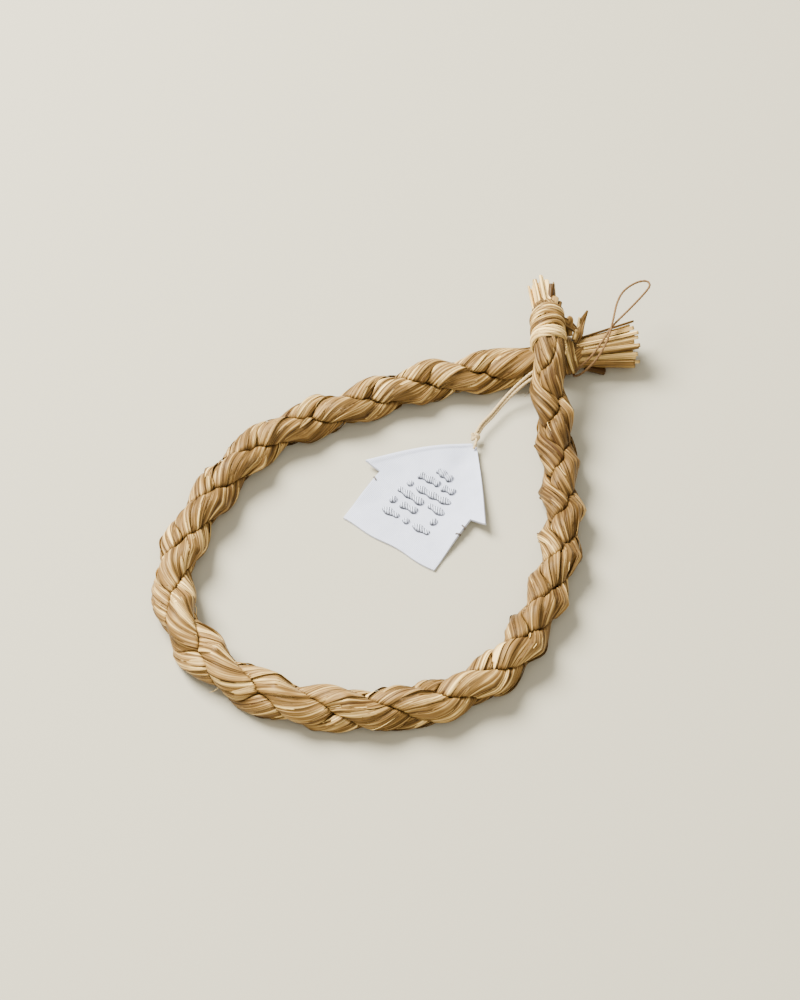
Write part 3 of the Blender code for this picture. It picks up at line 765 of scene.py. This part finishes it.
def build_cord(name, node, route, diameter, plies, finish):
    """A free cord along its route, with its plies."""
    points, length = smooth_line(route, 0.0006)
    bm = new_skin()
    add_cord_skin(bm, points, diameter, plies, diameter * LAY_IN_DIAMETERS, 16, diameter * 0.26)
    close_ends(bm)
    piece = add_piece(name, bm, finish)
    scale_uvs(piece.data, math.pi * diameter, length, -0.9)
    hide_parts(node)
    return piece


class OrnamentOperator:
    """What every step shares."""
    bl_options = {"REGISTER", "UNDO"}


class ORNAMENT_OT_stage(OrnamentOperator, bpy.types.Operator):
    """Sets up the camera, the floor and the light"""
    bl_idname = "ornament.stage"
    bl_label = "Stage"

    def execute(self, context):
        build_camera()
        build_floor()
        add_soft_light("window_light", (-0.90, 0.0, 1.06), (0, 0, 0), 0.85, 106)
        add_soft_light("fill_light", (0.5, -0.6, 1.1), (0, 0, 0), 1.2, 10)
        world = bpy.data.worlds.new("studio")
        world.use_nodes = True
        world.node_tree.nodes["Background"].inputs[0].default_value = (1.0, 0.98, 0.945, 1)
        world.node_tree.nodes["Background"].inputs[1].default_value = 0.72
        context.scene.world = world
        return {"FINISHED"}


class ORNAMENT_OT_hanging_cord(OrnamentOperator, bpy.types.Operator):
    """Makes the thin cord that the ornament hangs on"""
    bl_idname = "ornament.hanging_cord"
    bl_label = "Hanging Cord"

    def execute(self, context):
        finish = thread_finish("hanging_cord_fibre", context.scene.ornament_colours.hanging_cord, 0.00012)
        diameter = context.scene.ornament_cords.hanging_diameter
        build_cord("twisted_hanging_cord", "hanging_cord", HANGING_CORD_ROUTE, diameter, 2, finish)
        return {"FINISHED"}


class ORNAMENT_OT_tag_string(OrnamentOperator, bpy.types.Operator):
    """Makes both legs of the tag's string and their knot"""
    bl_idname = "ornament.tag_string"
    bl_label = "Tag String"

    def execute(self, context):
        finish = thread_finish("tag_string_cotton", context.scene.ornament_colours.tag_string, 0.00016)
        diameter = context.scene.ornament_cords.string_diameter
        knot = build_knot(diameter, finish)
        for n, route in enumerate(TAG_STRING_ROUTES):
            build_cord(f"twisted_tag_string_{n + 1}", f"tag_string.{n + 1:03d}", route, diameter, 3, finish)
        return {"FINISHED"}


def build_knot(diameter, finish):
    """A small overhand knot with its tail."""
    turns = np.linspace(0, 2 * math.pi, 60)
    loop = np.stack((np.sin(turns) + 2 * np.sin(2 * turns), np.cos(turns) - 2 * np.cos(2 * turns),
                     -np.sin(3 * turns)), axis=-1)
    points = np.array(KNOT_CENTRE) + loop * np.array((0.00044, 0.00040, 0.0006))
    steps = ((0.0002, 0, 0), (0.0014, -0.0012, 0.0006), (0.0022, -0.0030, 0.0004), (0.0024, -0.0042, -0.0002))
    tail = smooth_line([np.array(KNOT_CENTRE) + step for step in steps], 0.0002)[0]
    bm = new_skin()
    add_cord_skin(bm, points, diameter, 3, diameter * LAY_IN_DIAMETERS, 14, 0.0002)
    add_cord_skin(bm, tail, diameter * 0.9, 3, diameter * LAY_IN_DIAMETERS, 14, 0.0002)
    close_ends(bm)
    knot = add_piece("tied_string_knot", bm, finish)
    scale_uvs(knot.data, math.pi * diameter, 0.012, -0.9)
    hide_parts("string_knot")
    return knot


class ORNAMENT_OT_strands(OrnamentOperator, bpy.types.Operator):
    """Makes the three plaited strands with their loose leaves"""
    bl_idname = "ornament.strands"
    bl_label = "Plaited Strands"

    def execute(self, context):
        rope = Rope()
        for strand in range(STRAND_COUNT):
            build_strand(rope, strand)
            build_loose_leaves(rope, strand)
        build_hairs(rope)
        return {"FINISHED"}


def add_stalk(bm, foot, tip, flat_way, width, thickness, tone, bend=(0, 0, 0)):
    """A cut stalk: a flattened hollow straw from its foot to its open tip, with painted shade inside its open
    tip and along its folded edges. bend moves its middle.
    """
    foot, tip, bend = (np.array(v, float) for v in (foot, tip, bend))
    way = unit(tip - foot)
    flat = unit(np.array(flat_way) - way * way.dot(flat_way))
    thin = np.cross(way, flat)
    length = np.linalg.norm(tip - foot)

    def place(across, along):
        turn = across * 2 * math.pi
        outside = np.clip(along / 0.8, 0, 1)
        inside = np.clip((along - 0.86) / 0.14, 0, 1)
        rim = np.clip((along - 0.8) / 0.06, 0, 1)
        share = outside - inside * min(0.0022 / length, 0.4)
        narrow = 1 - 0.26 * rim
        points = foot + (tip - foot) * share[:, None] + bend * np.sin(math.pi * share * 0.7)[:, None]
        points = points + flat * (np.cos(turn) * width / 2 * narrow)[:, None]
        points = points + thin * (np.sin(turn) * thickness / 2 * narrow)[:, None]
        points[:, 2] = np.maximum(points[:, 2], 0.0001)
        fold = np.abs(np.cos(turn)) ** 12
        # Painted shade: darkest inside the open tip, and along the stalk's folded edges.
        return points, {"crease": 0.75 * np.clip(inside * 3 + rim * 0.2, 0, 1), "leaf_edge": 0.9 * fold}

    add_patch(bm, 14, 22, place, closed=True, tone=tone)


def build_stalks(rope, name, at_start, count, girth, lengths, splay, wider, tones, seed):
    """The bunch of cut stalks at one end of the rope."""
    tie = bpy.context.scene.ornament_tie
    dice = random.Random(seed)
    end = 0.0 if at_start else rope.length
    here = np.array([end])
    cap, along, out, up = (rope.read(v, here)[0] for v in (rope.points, rope.along, rope.out, rope.up))
    if at_start:
        along = -along
    bm = new_skin()
    for n in range(count):
        turn = n * 2.39996 + 0.5
        radius = girth * math.sqrt((n + 0.6) / count)
        radial = math.cos(turn) * out + math.sin(turn) * up
        round_way = math.cos(turn) * up - math.sin(turn) * out
        length = lengths[n % len(lengths)] * dice.uniform(0.92, 1.04)
        width = tie.stalk_width * wider * dice.uniform(0.75, 1.2)
        foot = cap + radial * radius * 0.96 - along * STALK_DEPTH
        tip = cap + radial * radius * (1 + splay) + along * length
        tip = tip + round_way * dice.uniform(-0.0008, 0.0008)
        flat = round_way + radial * dice.uniform(-0.6, 0.6)
        thickness = dice.uniform(0.0006, 0.0011) * wider
        tone = dice.uniform(*tones)
        bend = radial * dice.uniform(-0.0008, 0.0002)
        tip[2] = max(tip[2], 0.0012)
        add_stalk(bm, foot, tip, flat, width, thickness, tone, bend)
    if at_start:
        for foot, tip, width, thickness, tone in (
                ((-0.0060, 0.0790, 0.0206), (-0.0100, 0.0863, 0.0234), 0.0020, 0.0016, 0.04),
                ((-0.0036, 0.0760, 0.0214), (-0.0068, 0.0831, 0.0218), 0.0032, 0.0018, 0.55),
                ((-0.0020, 0.0770, 0.0204), (-0.0048, 0.0834, 0.0204), 0.0018, 0.0016, 0.28)):
            add_stalk(bm, foot, tip, ACROSS_UPRIGHT, width, thickness, tone)
    else:
        add_stalk(bm, (0.0108, 0.0768, 0.0042), (0.0162, 0.0804, 0.0021), (0.4, -0.5, 0.6),
                  0.0034, 0.0026, 0.04)
    piece = add_piece(name, bm, straw_finish())
    scale_uvs(piece.data, 0.006, 0.018)
    return piece


class ORNAMENT_OT_stalks(OrnamentOperator, bpy.types.Operator):
    """Makes the cut stalks at both ends of the rope"""
    bl_idname = "ornament.stalks"
    bl_label = "Cut Stalks"

    def execute(self, context):
        rope = Rope()
        build_stalks(rope, "upright_stalks", True, 26, 0.0043, (0.0074, 0.0063, 0.0069, 0.0050, 0.0078),
                     0.10, 1.0, (0.54, 0.90), 7)
        build_stalks(rope, "level_stalks", False, 46, 0.0045, (0.0160, 0.0150, 0.0163, 0.0144, 0.0155),
                     0.80, 0.95, (0.26, 0.80), 8)
        return {"FINISHED"}


def strip_radius(rope, along):
    """How far the strip's middle layer lies from the rope's middle."""
    return rope.read(rope.girth, along) + STRIP_GAP + STRIP_THICKNESS / 2


def around_rope(rope, along, turn, radius):
    """Points round the rope, from lengths along it, angles from its outer side upwards and distances."""
    centre, out, up = (rope.read(v, along) for v in (rope.points, rope.out, rope.up))
    return centre + radius[:, None] * (np.cos(turn)[:, None] * out + np.sin(turn)[:, None] * up)


def strip_leaves(across, along, count, seed, sway):
    """The narrow leaves that lie side by side in a strip: their height, tone and edges."""
    dice = random.Random(seed)
    tones = [dice.uniform(0.42, 0.86) for n in range(count + 2)]
    place = across * count + sway * np.sin(along * 9 + seed) + along * sway * 3
    leaf = np.floor(place).astype(int) % len(tones)
    middle = 2 * (place - np.floor(place)) - 1
    # The edge value lets the finish paint shade towards each narrow leaf's edges.
    return 0.00036 * (1 - middle ** 2), np.array(tones)[leaf], np.abs(middle)


def add_turns(bm, rope, width):
    """The strip's turns round the upright end."""
    for n in range(TURN_COUNT):
        def place(across, along, n=n):
            height, tone, edge = strip_leaves(across, along + n, 4, 3 + n, 0.5)
            turn = 2 * math.pi * (along * 1.04 - 0.02 + n)
            wave = 0.0003 * np.sin(along * 17 + n * 2)
            length = FIRST_TURN_AT + (along + n) * TURN_STEP + (across - 0.5) * width + wave
            rounded = -0.0008 * (2 * across - 1) ** 4
            radius = strip_radius(rope, length) + height + rounded
            return around_rope(rope, length, turn, radius), {"leaf_tone": tone, "leaf_edge": edge}
        add_patch(bm, 28, 96, place)


def add_band(bm, rope, width):
    """The wide turn round the level end, with its fibres running round."""
    def place(across, along):
        height, tone, edge = strip_leaves(across, along, 2, 11, 0.12)
        length = rope.length - BAND_BEFORE_CAP + (across - 0.5) * width * 1.12 + 0.0003 * np.sin(along * 13)
        radius = strip_radius(rope, length) + height * 0.5 - 0.0006 * (2 * across - 1) ** 4
        return (around_rope(rope, length, 2 * math.pi * (along * 1.03), radius),
                {"leaf_tone": 0.5 + 0.3 * (tone - 0.5), "leaf_edge": edge * 0.9})
    add_patch(bm, 16, 96, place)


def add_blade(bm, route, widths, flat_way, tone, cup=0.0):
    """A flat leaf along a route. widths are its widths from foot to tip, and cup hollows it."""
    points, length = smooth_line(route, 0.0004)
    marks = np.linspace(0, 1, len(points))
    ways = unit(np.gradient(points, axis=0))
    flats = unit(np.array(flat_way) - ways * (ways * np.array(flat_way)).sum(axis=1, keepdims=True))
    normals = np.cross(ways, flats)

    def place(across, along):
        a = 2 * across - 1
        half = np.interp(along, np.linspace(0, 1, len(widths)), widths) / 2
        flat, normal = read_along(along, marks, flats), read_along(along, marks, normals)
        rise = cup * a ** 2 * half / max(widths)
        points_here = read_along(along, marks, points) + flat * (a * half)[:, None] + normal * rise[:, None]
        # The edge value lets the finish paint shade towards the blade's edges.
        return points_here, {"leaf_edge": 0.92 * np.abs(a)}

    add_patch(bm, 6, max(8, round(length / 0.0006)), place, tone=tone)


def add_stub(bm, foot, tip, radius, tone):
    """A rolled end of the strip, rounded at its tip, with painted shade in the grooves of its roll."""
    foot, tip = np.array(foot), np.array(tip)
    way = unit(tip - foot)
    first = unit(np.cross(way, (0.3, 0.1, 1.0)))
    second = np.cross(way, first)

    def place(across, along):
        turn = across * 2 * math.pi
        rolled = np.abs(np.sin(turn * 1.5 + along * 3))
        tip_round = np.sqrt(np.clip(1 - np.clip((along - 0.72) / 0.28, 0, 1) ** 2, 0, 1))
        reach = radius * tip_round * (0.88 + 0.12 * rolled)
        points = foot + (tip - foot) * along[:, None] + first * (np.cos(turn) * reach)[:, None]
        # Painted shade in the roll's grooves, where the surface dips.
        return points + second * (np.sin(turn) * reach)[:, None], {"leaf_edge": 1 - rolled}

    add_patch(bm, 30, 20, place, closed=True, tone=tone)


def build_tie(rope):
    """The strip of straw that ties the crossing: its turns, its strap, its band and its loose ends."""
    tie = bpy.context.scene.ornament_tie
    bm = new_skin()
    add_turns(bm, rope, tie.width)
    add_band(bm, rope, tie.width)
    leaves_at = np.array([FIRST_TURN_AT + STRAP_AFTER_TURNS * TURN_STEP])
    start = around_rope(rope, leaves_at, np.array([0.0]), strip_radius(rope, leaves_at) + 0.0005)[0]
    on_band = np.array([rope.length - BAND_BEFORE_CAP])
    band = strip_radius(rope, on_band) + 0.0005
    low, high = (around_rope(rope, on_band, np.radians([angle]), band)[0] for angle in (15, 65))
    way = rope.read(rope.along, leaves_at)[0]
    middle = (start + high) / 2 + np.array((0.0004, -0.0002, 0.0006))
    add_blade(bm, (start + way * 0.0006, middle, high, low), (0.0030, 0.0042, 0.0040, 0.0030), way, 0.40,
              0.0005)
    add_blade(bm, ((-0.0022, 0.0745, 0.0232), (0.0004, 0.0765, 0.0212), (0.0026, 0.0782, 0.0188),
                   (0.0044, 0.0796, 0.0160), (0.0040, 0.0806, 0.0128)),
              (0.0022, 0.0026, 0.0026, 0.0022, 0.0016), (-0.46, 0.64, 0.62), 0.42, 0.0005)
    add_blade(bm, ((0.0026, 0.0718, 0.0222), (0.0056, 0.0708, 0.0176), (0.0078, 0.0703, 0.0134),
                   (0.0096, 0.0704, 0.0088), (0.0096, 0.0716, 0.0056)),
              (0.0018, 0.0018, 0.0016, 0.0014, 0.0008), ACROSS_UPRIGHT, 0.78, 0.0004)
    add_blade(bm, ((0.0018, 0.0706, 0.0222), (0.0044, 0.0692, 0.0180), (0.0064, 0.0688, 0.0132),
                   (0.0080, 0.0692, 0.0084)), (0.0026, 0.0024, 0.0020, 0.0010), ACROSS_UPRIGHT, 0.30, 0.0004)
    add_stub(bm, (0.0032, 0.0772, 0.0148), (0.0013, 0.0802, 0.0206), 0.0013, 0.44)
    add_stub(bm, (0.0050, 0.0778, 0.0136), (0.0046, 0.0796, 0.0166), 0.0008, 0.70)
    add_blade(bm, ((0.0058, 0.0776, 0.0122), (0.0054, 0.0800, 0.0134), (0.0040, 0.0838, 0.0154),
                   (0.0039, 0.0872, 0.0186)), (0.0016, 0.0024, 0.0018, 0.0003), ACROSS_UPRIGHT, 0.46, 0.0006)
    add_blade(bm, ((0.0052, 0.0790, 0.0124), (0.0040, 0.0818, 0.0142), (0.0026, 0.0844, 0.0170)),
              (0.0010, 0.0009, 0.0002), ACROSS_UPRIGHT, 0.70, 0.0003)
    piece = add_piece("straw_tie_strips", bm, straw_finish())
    scale_uvs(piece.data, 0.005, 0.032)
    thicken(piece, tie.thickness, -1.0)
    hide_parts("straw_tie")
    return piece


class ORNAMENT_OT_tie(OrnamentOperator, bpy.types.Operator):
    """Makes the strip of straw that ties the crossing"""
    bl_idname = "ornament.tie"
    bl_label = "Straw Tie"

    def execute(self, context):
        build_tie(Rope())
        return {"FINISHED"}


def tag_surface(across, along):
    """Points of the cloth's middle layer, from places across and along the flat tag."""
    upper = smooth(along / TAG_WALL_HEIGHT)
    roof = smooth((along - TAG_WALL_HEIGHT) / TAG_ROOF_HEIGHT)
    side = across / (TAG_WALL_HALF_WIDTH + TAG_EAVE)
    lift = np.where(side > 0, TAG_LIFT_RIGHT, TAG_LIFT_LEFT) * side ** 2 * upper + TAG_LIFT_POINT * roof
    ripple = 0.00016 * np.sin(across * 260 + along * 90) + 0.00012 * np.sin(along * 310 - across * 120 + 1)
    dent = -0.0011 * np.exp(-((across - 0.001) ** 2 + (along - 0.0415) ** 2) / 0.0040 ** 2)
    half_cloth = bpy.context.scene.ornament_tag.thickness / 2
    height = np.maximum(lift - 0.0002 + ripple + dent, 0) + half_cloth + 0.00005
    bow = -TAG_BOW * np.sin(math.pi * along / (TAG_WALL_HEIGHT + TAG_ROOF_HEIGHT))
    return np.stack((TAG_FOOT[0] + across + bow, TAG_FOOT[1] + along, height), axis=-1)


def roof_across(across, share):
    """Narrows the roof to its point. Its left slope swells more than its right one."""
    eave = TAG_WALL_HALF_WIDTH + TAG_EAVE
    narrowing = mix(1, TAG_POINT_HALF_WIDTH / eave, share)
    swell = np.where(across < 0, 0.085, 0.035) * np.sin(math.pi * share)
    return across * (narrowing + swell)


def build_tag():
    """The sewn cloth tag in the shape of a house."""
    tag = bpy.context.scene.ornament_tag
    eave = TAG_WALL_HALF_WIDTH + TAG_EAVE

    def wall(across, along):
        x = (2 * across - 1) * TAG_WALL_HALF_WIDTH
        wave = 0.00035 * (1 - along) ** 6 * np.sin(x * 330 + 0.6)
        return tag_surface(x, along * TAG_WALL_HEIGHT + wave)

    def roof(across, along):
        x = np.interp(across * 58, (0, 7, 51, 58), (-eave, -TAG_WALL_HALF_WIDTH, TAG_WALL_HALF_WIDTH, eave))
        points = tag_surface(roof_across(x, along), TAG_WALL_HEIGHT + along * TAG_ROOF_HEIGHT)
        left, right = (np.abs(roof_across(x, along) - roof_across(np.full_like(x, edge), along))
                       for edge in (-eave, eave))
        points[:, 2] += (0.00042 * np.exp(-((left - 0.0007) / 0.0007) ** 2)
                         + 0.0002 * np.exp(-(right / 0.0008) ** 2))
        return points

    bm = new_skin()
    add_patch(bm, 44, 28, wall)
    add_patch(bm, 58, 44, roof)
    bmesh.ops.remove_doubles(bm, verts=bm.verts, dist=1e-5)
    piece = add_piece("sewn_house_tag", bm, cotton_finish())
    flatten_uvs(piece.data)
    thicken(piece, tag.thickness, 0.0)
    rim = piece.modifiers.new("Soft rim", "BEVEL")
    rim.width = tag.thickness * 0.36
    rim.segments = 2
    rim.limit_method = "ANGLE"
    rim.angle_limit = math.radians(50)
    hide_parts("house_tag")
    return piece


def flatten_uvs(mesh):
    """Lays the cloth's UVs out as the flat tag, in metres, so that its weave follows the cloth."""
    layer = mesh.uv_layers[0]
    for loop in mesh.loops:
        place = mesh.vertices[loop.vertex_index].co
        layer.uv[loop.index].vector = (place.x, place.y)


def build_strokes():
    """Rows of satin-stitch strokes on the tag."""
    cell = 2 * TAG_WALL_HALF_WIDTH / TAG_WALL_COLUMNS
    bm = new_skin()
    for row, strokes in STROKE_ROWS.items():
        wall_rows = min(row, TAG_WALL_ROWS)
        foot = (TAG_WALL_HEIGHT * wall_rows / TAG_WALL_ROWS
                + TAG_ROOF_HEIGHT * (row - wall_rows) / TAG_ROOF_ROWS)
        for first, last in strokes:
            add_stroke(bm, -TAG_WALL_HALF_WIDTH + cell * first + STROKE_INSET,
                       -TAG_WALL_HALF_WIDTH + cell * (last + 1) - STROKE_INSET, foot + STROKE_ABOVE_ROW, row)
    finish = satin_finish("stitch_thread", bpy.context.scene.ornament_colours.thread)
    piece = add_piece("stitched_strokes", bm, finish)
    scale_uvs(piece.data, 0.003, 0.006)
    return piece


def add_stroke(bm, left, right, middle, row):
    """One raised stroke of close threads, which run slantwise over it, with painted shade between the threads
    and along its edges.
    """
    tag = bpy.context.scene.ornament_tag
    length = right - left
    half = STROKE_HALF_WIDTH

    def place(across, along):
        a = 2 * across - 1
        from_end = np.minimum(along, 1 - along) * length
        narrow = np.sqrt(np.clip(1 - (1 - np.clip(from_end / half, 0, 1)) ** 2, 0.02, 1))
        narrow = narrow * (1 + 0.22 * np.sin(along * length * 1400 + row * 2.1))
        narrowing = 1 if row < TAG_WALL_ROWS else 1 - (row - TAG_WALL_ROWS + 0.5) / TAG_ROOF_ROWS * 0.95
        threads = np.abs(np.sin(math.pi * (along * length + a * 0.0009) / tag.thread_pitch))
        x = (left + along * length) * narrowing
        y = middle + a * half * narrow + 0.0003 * np.sin(row * 2 + along * length * 260)
        surface = tag_surface(x, y)
        humps = np.sqrt(np.clip(1 - a ** 2, 0, 1)) * (1 - 0.3 * np.exp(-(a / 0.24) ** 2))
        rise = humps * narrow * tag.stroke_height + 0.00022 * (threads - 0.4) * (1 - a ** 2) * narrow
        surface[:, 2] += tag.thickness / 2 - 0.00012 + rise
        # Painted shade between the threads and along the stroke's edges.
        return surface, {"leaf_edge": np.maximum((1 - threads) * 1.25, smooth((np.abs(a) - 0.68) / 0.2))}

    add_patch(bm, 17, max(16, round(length / tag.thread_pitch * 12)), place)


def build_edge_stitches():
    """The short stitches that close the tag's walls under the eaves."""
    bm = new_skin()
    for x, y, lean in ((-0.0176, 0.0182, 0.3), (0.0177, 0.0186, -0.2), (0.0177, 0.0150, 0.25)):
        inner = tag_surface(np.array([x * 0.955]), np.array([y]))[0] + (0, 0, 0.0006)
        outer = tag_surface(np.array([x * 1.02]), np.array([y + lean * 0.002]))[0]
        route = (inner - (0, 0, 0.0006), inner, outer + (0, 0, 0.0003), outer - (0, 0, 0.0005))
        points = smooth_line(route, 0.0002)[0]
        points[:, 2] = np.maximum(points[:, 2], 0.0004)
        add_cord_skin(bm, points, 0.0006, 2, 0.0015, 8, 0.0002)
    close_ends(bm)
    piece = add_piece("edge_stitches", bm, thread_finish("edge_thread", (0.12, 0.10, 0.08), 0.0001))
    scale_uvs(piece.data, 0.001, 0.003)
    return piece


class ORNAMENT_OT_tag(OrnamentOperator, bpy.types.Operator):
    """Makes the house-shaped cloth tag with its stitching"""
    bl_idname = "ornament.tag"
    bl_label = "Cloth Tag"

    def execute(self, context):
        tag = build_tag()
        stitches = [build_strokes(), build_edge_stitches()]
        return {"FINISHED"}


SETTINGS = (("ornament_straw", StrawSizes), ("ornament_tie", TieSizes), ("ornament_cords", CordSizes),
            ("ornament_tag", TagSizes), ("ornament_colours", OrnamentColours))
STEPS = (ORNAMENT_OT_stage, ORNAMENT_OT_hanging_cord, ORNAMENT_OT_tag_string, ORNAMENT_OT_strands,
         ORNAMENT_OT_stalks, ORNAMENT_OT_tie, ORNAMENT_OT_tag)


class ORNAMENT_PT_panel(bpy.types.Panel):
    """The ornament's steps, sizes and colours"""
    bl_idname = "ORNAMENT_PT_panel"
    bl_label = "Straw Rope Ornament"
    bl_space_type = "VIEW_3D"
    bl_region_type = "UI"
    bl_category = "Ornament"

    def draw(self, context):
        for step in STEPS:
            self.layout.operator(step.bl_idname)
        for name, group in SETTINGS:
            box = self.layout.box()
            for key in group.__annotations__:
                box.prop(getattr(context.scene, name), key)


def register():
    for name, group in SETTINGS:
        bpy.utils.register_class(group)
        setattr(bpy.types.Scene, name, bpy.props.PointerProperty(type=group))
    for made in (*STEPS, ORNAMENT_PT_panel):
        bpy.utils.register_class(made)


def unregister():
    for made in (ORNAMENT_PT_panel, *reversed(STEPS)):
        bpy.utils.unregister_class(made)
    for name, group in reversed(SETTINGS):
        delattr(bpy.types.Scene, name)
        bpy.utils.unregister_class(group)


def main():
    """Makes the whole ornament."""
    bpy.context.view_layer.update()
    register()
    bpy.ops.ornament.stage()
    bpy.ops.ornament.hanging_cord()
    bpy.ops.ornament.tag_string()
    bpy.ops.ornament.strands()
    bpy.ops.ornament.stalks()
    bpy.ops.ornament.tie()
    bpy.ops.ornament.tag()


if __name__ == "__main__":
    main()
